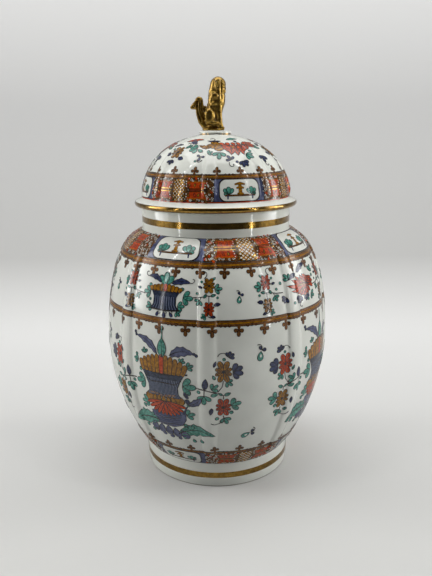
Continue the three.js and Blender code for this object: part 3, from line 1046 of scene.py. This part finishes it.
def red_panel(width, height):
    """An iron-red panel with ragged sides that draw in at the middle and at the ends, two gold
    bars over its middle and flames in each half."""
    teeth = 7
    side_line = []
    for k in range(2 * teeth + 1):
        up = k / (2 * teeth) - 0.5
        half = width / 2 * (0.76 + 0.28 * math.sin(math.pi * abs(up))) - (1.3 if k % 2 else 0)
        side_line.append((half - hand.uniform(0, 0.6), height * up))
    points = side_line + [(-x + hand.uniform(0, 0.6), y) for x, y in side_line[::-1]]
    out = [Shape(points, "red", 2, 0.3)]
    for x, y in points[1::2]:
        out += moved(disc(0.42, "white", 3), 1.02 * x, y)
    for way in (-1, 1):
        bar_y = 0.075 * height * way
        out += stroke([(-0.45 * width, bar_y), (0.45 * width, bar_y)], [0.6, 1.1, 0.6], "gold", 4)
        for k in range(4):
            x = width * (k - 1.5) / 4.4
            bow = [(x - 1.5, 0.44), (x, 0.5), (x + 1.5, 0.44)]
            out += stroke([(px, share * height * way) for px, share in bow], [0.5], "ochre", 4)
            flame = petal(0.24 * height, 1.7, hand.choice(["ochre", "red"]), 3)
            out += moved(flame, x, 0.15 * height * way, 90 * way + hand.uniform(-25, 25))
    return out + stroke([(-0.45 * width, 0), (0.45 * width, 0)], [0.4], level=4)


def lattice(width, height, pitch):
    """A net of crossing ochre strokes on white, touched up with gold dots."""
    out = rounded_panel(width, height, 0.4, "white", 1, 0.3)
    for k in range(round((width + height) / pitch)):
        c = -(width + height) / 2 + (k + 0.5) * pitch
        start, end = max(-width / 2, c - height / 2), min(width / 2, c + height / 2)
        for side in (-1, 1):
            out += stroke([(side * start, start - c), (side * end, end - c)], [0.85], "ochre", 3)
            dot_x = hand.uniform(start, end)
            out += moved(disc(0.7, "gold", 5), side * dot_x, dot_x - c)
    return out


def scrollwork(left, right, low, high):
    """White scrolls and red and gold petals with white dots on a stretch of the brown ground."""
    out = []
    columns, rows = max(1, round((right - left) / 2.2)), max(1, round((high - low) / 2.2))
    for column in range(columns):
        for row in range(rows):
            x = left + (column + hand.uniform(0.35, 0.65)) * (right - left) / columns
            y = low + (row + hand.uniform(0.35, 0.65)) * (high - low) / rows
            turn = hand.uniform(0, 360)
            if (row + column) % 3:
                out += moved(curl(3, 300, "white", 0.34, 6), x - 0.6, y, turn, lift=-1)
            else:
                out += moved(petal(2.2, 1.6, hand.choice(["dull_gold", "red"]), 2, edge=0), x, y, turn)
                out += moved(disc(0.32, "white", 2), x + 0.9, y + 0.9)
    return out


def border(sheet, wall, band, windows, turns, pitch=2.9):
    """Windows, panels, lattice and scrollwork round a wall between two dark lines. The turns say
    how many degrees a window, a red panel and the lattice take up."""
    low, high = band
    window_turn, panel_turn, lattice_turn = turns
    up, height = (low + high) / 2, high - low
    degree = math.radians(float(wall.radius(up)))
    panel_height = 0.76 * height
    ring(sheet, wall, low, high, "brown", -1)
    for here, following in zip(windows, windows[1:] + [windows[0] + 360]):
        lay(sheet, wall, here, up, window(window_turn * degree, height), steady=True)
        half_gap = ((following - here - window_turn) / 2 - 3) * degree
        middle = (lattice_turn / 2 + 0.8 + panel_turn / 2) * degree
        reach = middle + panel_turn * degree / 2
        filling = lattice(lattice_turn * degree, height - 0.8, pitch)
        for side in (-1, 1):
            filling += moved(red_panel(panel_turn * degree, panel_height), side * middle, 0)
            for left, right, start, end in (
                (reach - 0.8, half_gap, -0.5 * height, 0.5 * height),
                (middle - panel_turn * degree / 2, reach - 0.8, 0.5 * panel_height, 0.5 * height),
                (middle - panel_turn * degree / 2, reach - 0.8, -0.5 * height, -0.5 * panel_height),
            ):
                filling += moved(scrollwork(left, right, start, end), flip=side < 0)
        lay(sheet, wall, (here + following) / 2, up, filling, steady=True)
    ring(sheet, wall, low, low + 0.5, "outline", 1)
    ring(sheet, wall, high - 0.5, high, "outline", 1)


shoulder_sheet = bmesh.new()
border(shoulder_sheet, body_wall_line, shoulder_band, shoulder_windows, shoulder_turns)
gold_line(shoulder_sheet, body_wall_line, *shoulder_line)
points_and_beads(shoulder_sheet, body_wall_line, 156.3, count=28, first_turn=-8.1, way=-1)
fired(shoulder_sheet, body_wall_line, "shoulder_border", "vase")


# Lower border
# The same painted band again just above the foot, in the same enamels. It is less tall, and its
# points stand upwards.
lower_band = (1, 15.6)
lower_line = (15.6, 18)
lower_windows = [-26 + 90 * quarter for quarter in range(4)]
lower_turns = (30, 15, 9)
foot_sheet = bmesh.new()
border(foot_sheet, body_wall_line, lower_band, lower_windows, lower_turns)
gold_line(foot_sheet, body_wall_line, *lower_line)
points_and_beads(foot_sheet, body_wall_line, 17.6, count=24, first_turn=-1.3, way=1, size=0.95)
fired(foot_sheet, body_wall_line, "lower_border", "vase")


# Lid border
# The same painted band round the foot of the dome, with a thin red line under it. Its points
# stand upwards.
lid_red_line = (0.2, 0.9)
lid_band = (0.8, 16.2)
lid_line = (16.2, 19.2)
lid_windows = [17.7 + 90 * quarter for quarter in range(4)]
lid_turns = (31, 17, 9)
lid_sheet = bmesh.new()
border(lid_sheet, dome_wall_line, lid_band, lid_windows, lid_turns, pitch=2.5)
ring(lid_sheet, dome_wall_line, *lid_red_line, "red")
gold_line(lid_sheet, dome_wall_line, *lid_line)
points_and_beads(lid_sheet, dome_wall_line, 18.9, count=20, first_turn=-16.5, way=1, size=0.82)
fired(lid_sheet, dome_wall_line, "lid_border", "lid")


# Lower flowers
# Four baskets in enamels round the belly, each overflowing on a rock between two great leaves,
# with a sprig of two flowers on each side and loose drops in the white between. Heights are
# measured up the wall from the foot.
lower_middles = [-26.5 + 90 * quarter for quarter in range(4)]
sprig_turn = 29.5
high_drop = (47, 100.5)
low_drop = (44.5, 37)


def flower(ink):
    """A flower of upright petals in two pairs, one millimetre from its middle to its top."""
    out = []
    for side in (1, -1):
        for lean, reach, wide in ((23, 1, 0.52), (68, 0.74, 0.38)):
            for way in (1, -1):
                tilt = 90 * side + lean * way
                out += moved(petal(reach, wide, ink, 1 + (lean < 30)), tilt=tilt)
                out += moved(stroke([(0.3, 0), (0.82 * reach, 0)], [0.03, 0.06]), tilt=tilt)
    return out + disc(0.15, "outline", 4)


def crown(low, high, half_low, half_high, ribs):
    """A pleated crown of upright ribs with round tops, the middle one red and the tallest."""
    out = []
    wide = 2.35 * half_high / ribs
    for k in range(ribs):
        share = 2 * k / (ribs - 1) - 1
        top = high - 0.42 * (high - low) * share * share
        path = [
            (share * (half_low + (half_high - half_low) * up ** 0.6), low + up * (top - low))
            for up in (0, 0.45, 0.75, 0.92, 1)
        ]
        widths = [0.75 * wide, 0.95 * wide, wide, 0.8 * wide, 0.35 * wide]
        out += stroke(path, widths, "red" if k == ribs // 2 else "ochre", 3 + k % 2, 0.3)
    return out


def vessel(levels, staves):
    """A slate-blue basket from its half widths at several heights, with thin upright staves."""
    right = [(half, up) for up, half in levels]
    left = [(-half, up) for up, half in levels[::-1]]
    out = [Shape(right + left, "slate", 1, outline_width)]
    for k in range(staves):
        share = 2 * (k + 1) / (staves + 1) - 1
        out += stroke([(share * half, up + 0.4) for up, half in levels[:-1]], [0.3], "pale", 2)
    return out


def great_basket():
    """The basket with its crown, its fringes, the rock under it and its leaves."""
    waist = [(66.5, 13), (70, 11.4), (74.5, 11.4), (79.5, 13.4), (84.5, 16.6)]
    out = vessel(waist, 21)
    out += stroke([(-14, 80), (-9, 77), (0, 77.6), (9, 77), (14, 80)], [0.4, 0.9, 0.4])
    out += crown(84, 97.5, 14.6, 17.2, 11) + stroke([(-18.5, 85), (0, 83.6), (18.5, 85)], [1, 1.4, 1])
    out += moved(leaf(13.5, 6.8, "green", level=4), 0.5, 95.4, 90)
    out += stroke([(0.5, 107.5), (0.7, 111.5), (0.5, 117)], [1.4, 0.7, 1.2], "green", 3, 0.2)
    for x, y, tilt, length, width, bend in ((-3, 97, 150, 21, 6, -3), (6, 97.4, 8, 17, 8, 2.4)):
        tip = (x + length * math.cos(math.radians(tilt)), y + length * math.sin(math.radians(tilt)))
        out += moved(leaf(length, width, "lilac", bend, 4, 2), x, y, tilt)
        out += moved(petal(3.2, 2.3, "blue", 3), *tip, tilt - 40) + moved(berry(1.1, "blue"), *tip)
    for side in (-1, 1):
        out += moved(petal(16, 8.4, "ochre", 1), 0, 68, 90 + 107 * side)
    for k in range(5):
        out += moved(petal(8, 3.6, "ochre", 2), 3 * (k - 2), 68.6, -90 + 8 * (k - 2))
    for k in range(11):
        lean = 15 * (k - 5)
        out += moved(petal(12.5 + 0.045 * abs(lean), 3.2, "red", 3 + k % 2), 0.5, 63.5, -90 + lean)
    rock = [(-12, 53), (-7, 54.6), (-1, 55.4), (6, 54.8), (12, 57), (15, 55), (14.4, 49), (11, 43.6)]
    out.append(Shape(rock + [(4, 41), (-3, 41.6), (-8, 42), (-11.6, 46)], "lilac", 1, outline_width))
    for k in range(5):
        middle = [(-3, 50 - 1.7 * k), (5, 51 - 1.7 * k)]
        crack = [(-10 + 0.7 * k, 51.6 - 2 * k), *middle, (12 - k, 53 - 2.2 * k)]
        out += stroke(crack, [0.3, 0.9, 0.3], "outline" if k % 3 == 1 else "blue", 2)
    out += stroke([(13, 54), (16, 60), (19, 64)], [1.6, 1.1, 0.7], "blue", 2, 0.2)
    out += moved(leaf(12.5, 6, "lilac", -1.2, 3, 3), 17, 62, 34)
    out += moved(petal(5, 3.4, "blue", 3), 17.5, 62, 100)
    for k, (x, y) in enumerate(((-11, 43.4), (-6, 42), (-1, 41.6), (4, 40.4), (9, 39.4))):
        out += moved(petal(9.4, 6.4, "lilac", 2 + k % 2), x, y, 254 + 9 * k)
        out += moved(curl(5, 330, "blue", 0.6, 7), x - 1.6 + 0.7 * k, y - 5, 190)
    puffs = ((-11.4, 34.6, 1), (-5.4, 32.4, 1), (0.4, 31.4, 1.1), (6.2, 30.4, 0.9))
    out += berries(1.7, puffs, "lilac")
    out += moved(leaf(24, 15, "green", -3, 5, 2, 12), -7, 45, 197)
    out += moved(leaf(26, 12.4, "green", 5, 5, 2, 12), 6, 34.8, 2)
    wide_leaves = ((-14, 76, 186, 8.5), (14.5, 76.5, 2, 9.5), (-13, 60, 188, 7), (15, 53.5, 12, 6.5))
    out += scattered(fan("green", 3, 100), wide_leaves)
    small = ((18, 90, 20, 5), (-19.5, 90, 170, 4.6), (-13, 96, 110, 4.4), (14, 93, 60, 4))
    out += scattered(fan("green", 3, 90), small) + scattered(fan("blue", 3, 90), [(15, 69, 30, 4)])
    fruits = [(-17.5, 84, 1), (17.4, 62, 0.9), (13, 44, 1.2), (-21, 94, 0.9), (-12, 49, 1.1)]
    fruits += [(13, 41.4, 1), (17.6, 42.6, 1.2), (10, 31.4, 0.9), (-15, 33.4, 0.9)]
    drops = [(-19, 38, 235, 4.5), (-14, 36, 250, 4.5), (-17, 53, 120, 4)]
    drops += [(16, 31.4, 275, 4), (21, 31.4, 285, 4)]
    return out + berries(1.4, fruits) + scattered(petal(1, 0.75, "green"), drops)


def sprig(upper, lower):
    """A stem with two flowers, one over the other, and the leaves round them."""
    out = moved(flower(upper), 0, 88, 0, 8) + moved(flower(lower), 0, 61.5, 0, 7.4)
    out += stroke([(-19, 76), (-12.5, 75.4), (-6, 73.4), (0, 70.8), (0, 68)], [0.9, 0.7, 0.8], level=0)
    out += stroke([(-4, 73), (-1, 77), (0, 81.5)], [0.6], level=0)
    out += stroke([(-12.5, 75), (-12.8, 70)], [0.6], level=0)
    out += scattered(fan("blue", 4, 120), [(6, 88, 0, 7.8), (3.4, 97.8, 60, 4.8)])
    buds = ((-12.4, 75.4, 84, 8.4), (-7.6, 61.4, 262, 6), (-6.4, 91.4, 75, 4.4))
    out += scattered(leaf(1, 0.5, "blue"), buds)
    fans = [(5, 63, 14, 7.4), (-8, 75.6, 32, 5.6), (-12.7, 71, 268, 7)]
    fans += [(0.6, 52.6, 300, 6), (2, 81, 322, 5)]
    out += scattered(fan("green", 3, 100), fans)
    blades = ((-8.6, 71.2, 2, 5.6), (0.4, 70.8, 24, 5), (-0.4, 70.8, 156, 3.6), (-5.4, 82.6, 120, 4))
    out += scattered(leaf(1, 0.55, "green"), blades)
    out += berries(1.5, [(5.4, 57.2, 1), (-4.2, 52, 1), (-16.4, 73.2, 0.9), (0.4, 96.6, 0.8)])
    out += moved(curl(9, 120), 3.6, 99, 140) + moved(curl(11, -100), 1, 51, 235)
    return out + stroke([(0, 54.6), (0.6, 52)], [0.6])


def loose_drop():
    """A green drop with two dark round leaves and a tendril, off on its own."""
    out = moved(petal(7, 4.6, "green"), tilt=-96)
    out += moved(petal(2.4, 1.4, "white", 3, edge=0), 0, -2, -96)
    out += moved(petal(3.4, 2.8, "blue", 2), 0.6, 0.4, 8)
    out += moved(petal(3, 2.4, "blue", 2), 0.2, 0.6, 110)
    return out + moved(curl(6.5, 150), 0.6, 0.6, 75)


lower_sheet = bmesh.new()
for middle in lower_middles:
    lay(lower_sheet, body_wall_line, middle, 0, great_basket())
    lay(lower_sheet, body_wall_line, middle + sprig_turn, 0, sprig("ochre", "red"))
    lay(lower_sheet, body_wall_line, middle - sprig_turn, 0, moved(sprig("red", "ochre"), flip=True))
    lay(lower_sheet, body_wall_line, middle + high_drop[0], high_drop[1], loose_drop())
    fallen = moved(loose_drop(), tilt=-52)
    lay(lower_sheet, body_wall_line, middle + low_drop[0], low_drop[1], fallen)
fired(lower_sheet, body_wall_line, "lower_flowers", "vase")


# Upper flowers
# A garland in the same enamels round the shoulder: small blue baskets and great red flowers in
# turn, with sprigs of two flowers between each two and a loose drop beside them.
upper_pitch = 72
upper_first = -25.5
upper_sprigs = (22, -21.5)
upper_drop = (36.5, 138)


def small_basket():
    """The small basket with its crown, bud and leaves."""
    out = vessel([(127.5, 10.8), (131, 8.4), (136, 8.2), (140.2, 10.6)], 9)
    out += stroke([(-11.4, 127.9), (0, 127.2), (11.4, 127.9)], [1.1])
    out += crown(139.6, 144.6, 9.6, 11, 9) + stroke([(-11.4, 140), (0, 139.4), (11.4, 140)], [0.8])
    out += moved(fan("green", 3, 76), 0, 143.6, 90, 9)
    for x, y, tilt, length, width, bend in ((-3, 145, 164, 12, 4.4, -2), (4, 145, 4, 13, 5, 1.4)):
        tip = (x + length * math.cos(math.radians(tilt)), y + length * math.sin(math.radians(tilt)))
        out += moved(leaf(length, width, "blue", bend, 3, 2), x, y, tilt)
        out += moved(curl(5, 200 if x > 0 else -200), *tip, tilt)
    out += scattered(fan("green", 3, 100), [(-11, 138, 176, 6), (12.6, 136.5, 0, 7)])
    low_fans = ((-9.6, 129.4, 200, 5), (9.4, 130.6, 0, 5), (8.6, 127, -40, 4))
    out += scattered(fan("green", 3, 90), low_fans)
    out += berries(1.3, [(-11.6, 143, 1), (11.8, 141.8, 1), (-11, 133.6, 0.8)])
    hooks = ((-4, 126.6, 250, 4), (0, 126.8, 275, 4.6), (4, 126.6, 300, 4))
    return out + scattered(petal(1, 0.6, "blue"), hooks) + scattered(curl(1, 260, width=0.1), hooks)


def great_flower():
    """A wide red flower whose ragged petals stream to one side like flames."""
    out = []
    flames = ((176, 24, 5), (187, 21, 5), (165, 20, 5), (199, 16, 4.6), (154, 15, 4.6), (212, 13, 4.4))
    for k, (lean, reach, width) in enumerate(flames + ((140, 11, 4.4), (226, 11, 4.4))):
        out += moved(leaf(reach, width, "red", 1.4, 3, 2 + k % 2, 10)[:1], 11, 139, lean)
    for k, (lean, reach) in enumerate(((238, 10), (118, 8), (256, 9), (96, 6), (276, 8), (-60, 7))):
        out += moved(leaf(reach, 4.4, "red", -1, 2, 2 + k % 2)[:1], 9, 139, lean)
    for lean, reach in ((0, 9), (24, 8), (-26, 9), (52, 6)):
        out += moved(leaf(reach, 4.6, "red", 1, 2, 3), 9, 139, lean)
    for lean in (150, 182, 214):
        out += moved(petal(9, 1.6, "ochre", 4, 0.6), 8, 139, lean)
    out += moved(leaf(13, 4.6, "blue", 1, 3), 0, 147.6, 24)
    out += moved(leaf(10, 4, "blue", -1, 3), -1, 147, 196)
    out += scattered(fan("green", 3, 100), [(-10, 144.6, 130, 5), (16, 146, 60, 5), (13, 131, -30, 5)])
    low_fans = ((-1, 132, 258, 6), (7, 131.4, 285, 4.6), (-14, 133, 230, 4.6))
    out += scattered(fan("blue", 4, 110), low_fans)
    out += berries(1.2, [(-8, 128.6, 1), (9, 128, 1), (-17, 143, 1), (18, 143, 1)])
    return out + moved(curl(7, 200), 1, 128.4, 200)


def small_sprig(upper, lower):
    """The garland's sprig: two flowers, one over the other, and their leaves."""
    out = moved(flower(upper), 0, 145, 0, 5.3) + moved(flower(lower), 0, 130, 0, 5)
    out += stroke([(-13, 136.6), (-7, 137), (-1, 138.6), (2.4, 138.2)], [0.7, 0.5], level=0)
    for stem in ([(-5, 137.2), (-6.6, 134)], [(0, 138.4), (0, 134)]):
        out += stroke(stem, [0.5], level=0)
    fans = ((3.6, 142.4, 10, 5), (-5.8, 135.6, 240, 4.4), (-2, 125.6, 200, 3.4))
    out += scattered(fan("green", 3, 100), fans)
    buds = ((3, 132.4, 12, 4.6), (-4, 143.4, 170, 3.2), (1, 125.6, -20, 3.6))
    out += scattered(leaf(1, 0.6, "blue"), buds)
    blades = ((-3.4, 137, 60, 3.4), (1, 138.4, 8, 3.6), (2, 148.4, 40, 3))
    out += scattered(leaf(1, 0.6, "green"), blades)
    out += berries(1, [(-7.6, 139.6, 1), (5.4, 137, 0.9), (-4.6, 147.4, 0.9)])
    return out + moved(curl(6.5, 160), -3, 149.6, 40) + moved(curl(5, -150), 1.4, 124.6, 170)


upper_sheet = bmesh.new()
for unit in range(5):
    middle = upper_first + upper_pitch * unit
    lay(upper_sheet, body_wall_line, middle, 0, great_flower() if unit % 2 else small_basket())
    own_inks = ("red", "ochre") if unit % 2 else ("ochre", "red")
    own_sprig = small_sprig(*own_inks)
    lay(upper_sheet, body_wall_line, middle + upper_sprigs[0], 0, own_sprig)
    mirror_sprig = moved(small_sprig("red", "ochre"), flip=True)
    lay(upper_sheet, body_wall_line, middle + upper_sprigs[1], 0, mirror_sprig)
    drop = moved(loose_drop(), size=0.72)
    lay(upper_sheet, body_wall_line, middle + upper_drop[0], upper_drop[1], drop)
fired(upper_sheet, body_wall_line, "upper_flowers", "vase")


# Lid flowers
# Three groups in the same enamels on the dome: a great red flower beside ochre leaves, a small
# ochre flower, and leaves and curls of blue and green round them.
def lid_flower():
    """The great red flower of the lid: ragged petals that spread wide above and meet in a point
    below, with ochre lobes beside them."""
    out = []
    for k, x in enumerate(range(-8, 11, 3)):
        for lean in (-24, 0, 24):
            blade = leaf(12.5 - 0.5 * abs(x), 4.8, "red", 0.8, 3, 2 + (k + (lean == 0)) % 2)[:1]
            out += moved(blade, x, 4.4, lean - 90 - 5 * x)
    for lean, reach in ((-6, 13), (10, 12), (-18, 12), (26, 8)):
        out += moved(leaf(reach, 4, "red", 0.8, 3, 3), 7, 4, lean)
    for x in range(-7, 10, 4):
        out += moved(petal(4.4, 3.6, "red", 4), x, 3, 90)
    for lean, reach in ((150, 9), (180, 12), (208, 9)):
        out += moved(petal(reach, 6, "ochre", 1), -6, 3, lean)
    return out + moved(disc(0.8, "gold", 6), -1, 1)


lid_motifs = [
    (22, 41, lid_flower(), 0, 1),
    (-42, 37, flower("ochre"), 8, 6),
    (-4, 42.6, leaf(9, 5, "ochre", 1, 4), 164, 1),
    (-20, 41, fan("green", 4, 120), 190, 6.6),
    (4, 37, fan("green", 3, 110), 262, 6.6),
    (31, 35, fan("green", 3, 80), -40, 6),
    (18, 53, leaf(9, 4.6, "green", 1, 3), 10, 1),
    (-25, 46, leaf(9, 5, "blue", 1, 3), 120, 1),
    (8, 51, leaf(9, 3.8, "blue", 1, 3), 176, 1),
    (14, 30, fan("blue", 3, 130), 120, 4.6),
    (25, 29, fan("blue", 4, 130), 280, 5.4),
    (51, 33, fan("blue", 3, 110), 262, 6),
    (-48, 34, leaf(6, 3.6, "blue"), 160, 1),
    (-37, 32, leaf(5, 3.4, "blue"), -20, 1),
    (-43, 30, fan("blue", 3, 90), 262, 4.4),
    (-36, 41, leaf(6, 3, "green"), 50, 1),
    (-14, 33, fan("blue", 3, 200), 250, 4.2),
    (-13, 37, leaf(5, 3, "green"), 140, 1),
    (-8, 36, fan("green", 3, 90), 30, 4),
    (-46, 50, leaf(12, 5, "red", 1, 4), 12, 1),
    (44, 43, leaf(7, 3.4, "green"), 20, 1),
    (54, 40, fan("green", 3, 90), 60, 4.6),
    (-58, 43, leaf(8, 4, "blue", 1, 3), 20, 1),
    (12, 28, curl(7, 240), 250, 1),
    (-12, 30, curl(6, -220), 250, 1),
    (-34, 44, curl(6, 200), 60, 1),
    (50, 28, curl(6, 200), 250, 1),
    (-2, 51, curl(7, 200), 60, 1),
    (19, 28.4, berry(1.1, "blue"), 0, 1),
    (-50, 40, berry(1.1), 0, 1),
    (38, 38, berry(1.2), 0, 1),
    (30, 50, berry(1.2, "blue"), 0, 1),
    (-18, 29, berry(1), 0, 1),
]
lid_flower_sheet = bmesh.new()
for group in range(3):
    for turn, up, motif, tilt, size in lid_motifs:
        leaning = moved(motif, tilt=tilt + hand.uniform(-5, 5), size=size)
        lay(lid_flower_sheet, dome_wall_line, turn + 120 * group, up, leaning)
fired(lid_flower_sheet, dome_wall_line, "lid_flowers", "lid")
